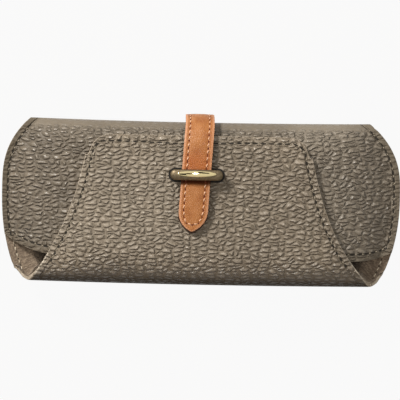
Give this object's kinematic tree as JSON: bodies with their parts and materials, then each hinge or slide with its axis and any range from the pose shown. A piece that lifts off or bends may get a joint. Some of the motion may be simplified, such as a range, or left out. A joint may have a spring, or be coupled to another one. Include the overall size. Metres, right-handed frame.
{
  "type": "glasses case",
  "caption": "Soft leather glasses case: a stitched pocket with a tapered flap that folds over its front, shut by a strap tucked under a metal loop.",
  "frame": {"origin": "on the flat back face, midway between the side seams, at the middle of the height seen from the front", "axes": "+X along the case's length, +Y from the lower fold towards the top fold, +Z out of the front"},
  "size_m": [0.1742, 0.0744, 0.0323],
  "materials": {
    "case_leather": "pebbled, satin",
    "suede_lining": "short nap, matte",
    "board": "fibre board, matte",
    "strap_leather": "smooth, satin",
    "strap_backing": "plain, matte",
    "loop_metal": "polished, pale gold",
    "plate_steel": "plain"
  },
  "bodies": {
    "pouch": {"shell_leather": "case_leather", "pocket_lining": "suede_lining", "front_board": "board", "back_board": "board", "strap_root": "strap_leather"},
    "flap_spine": {"spine_leather": "case_leather", "spine_lining": "suede_lining"},
    "flap": {"flap_leather": "case_leather", "flap_lining": "suede_lining", "bridge_loop": "loop_metal", "loop_plate": "plate_steel", "loop_rivets": "plate_steel"},
    "strap_bridge": {"strap_bridge_face": "strap_leather", "strap_bridge_backing": "strap_backing"},
    "strap_tongue": {"strap_tongue_face": "strap_leather", "strap_tongue_backing": "strap_backing"}
  },
  "joints": [
    {"name": "flap_fold", "type": "hinge", "parent": "pouch", "child": "flap_spine", "pos_m": [0, -0.0321, 0.00375], "axis": [1, 0, 0], "range_deg": [0, 90]},
    {"name": "flap_fold_upper", "type": "hinge", "parent": "flap_spine", "child": "flap", "pos_m": [0, -0.0321, 0.02305], "axis": [1, 0, 0], "range_deg": [0, 90]},
    {"name": "strap_fold", "type": "hinge", "parent": "pouch", "child": "strap_bridge", "pos_m": [0, 0.03366, 0.00255], "axis": [-1, 0, 0], "range_deg": [0, 75], "deforming": ["strap_tongue_face", "strap_tongue_backing"]},
    {"name": "strap_fold_upper", "type": "hinge", "parent": "strap_bridge", "child": "strap_tongue", "pos_m": [0, 0.03366, 0.02496], "axis": [-1, 0, 0], "range_deg": [0, 75]}
  ],
  "couplings": [
    {"joint": "flap_fold_upper", "follows": "flap_fold", "ratio": 1},
    {"joint": "strap_fold_upper", "follows": "strap_fold", "ratio": 1}
  ]
}
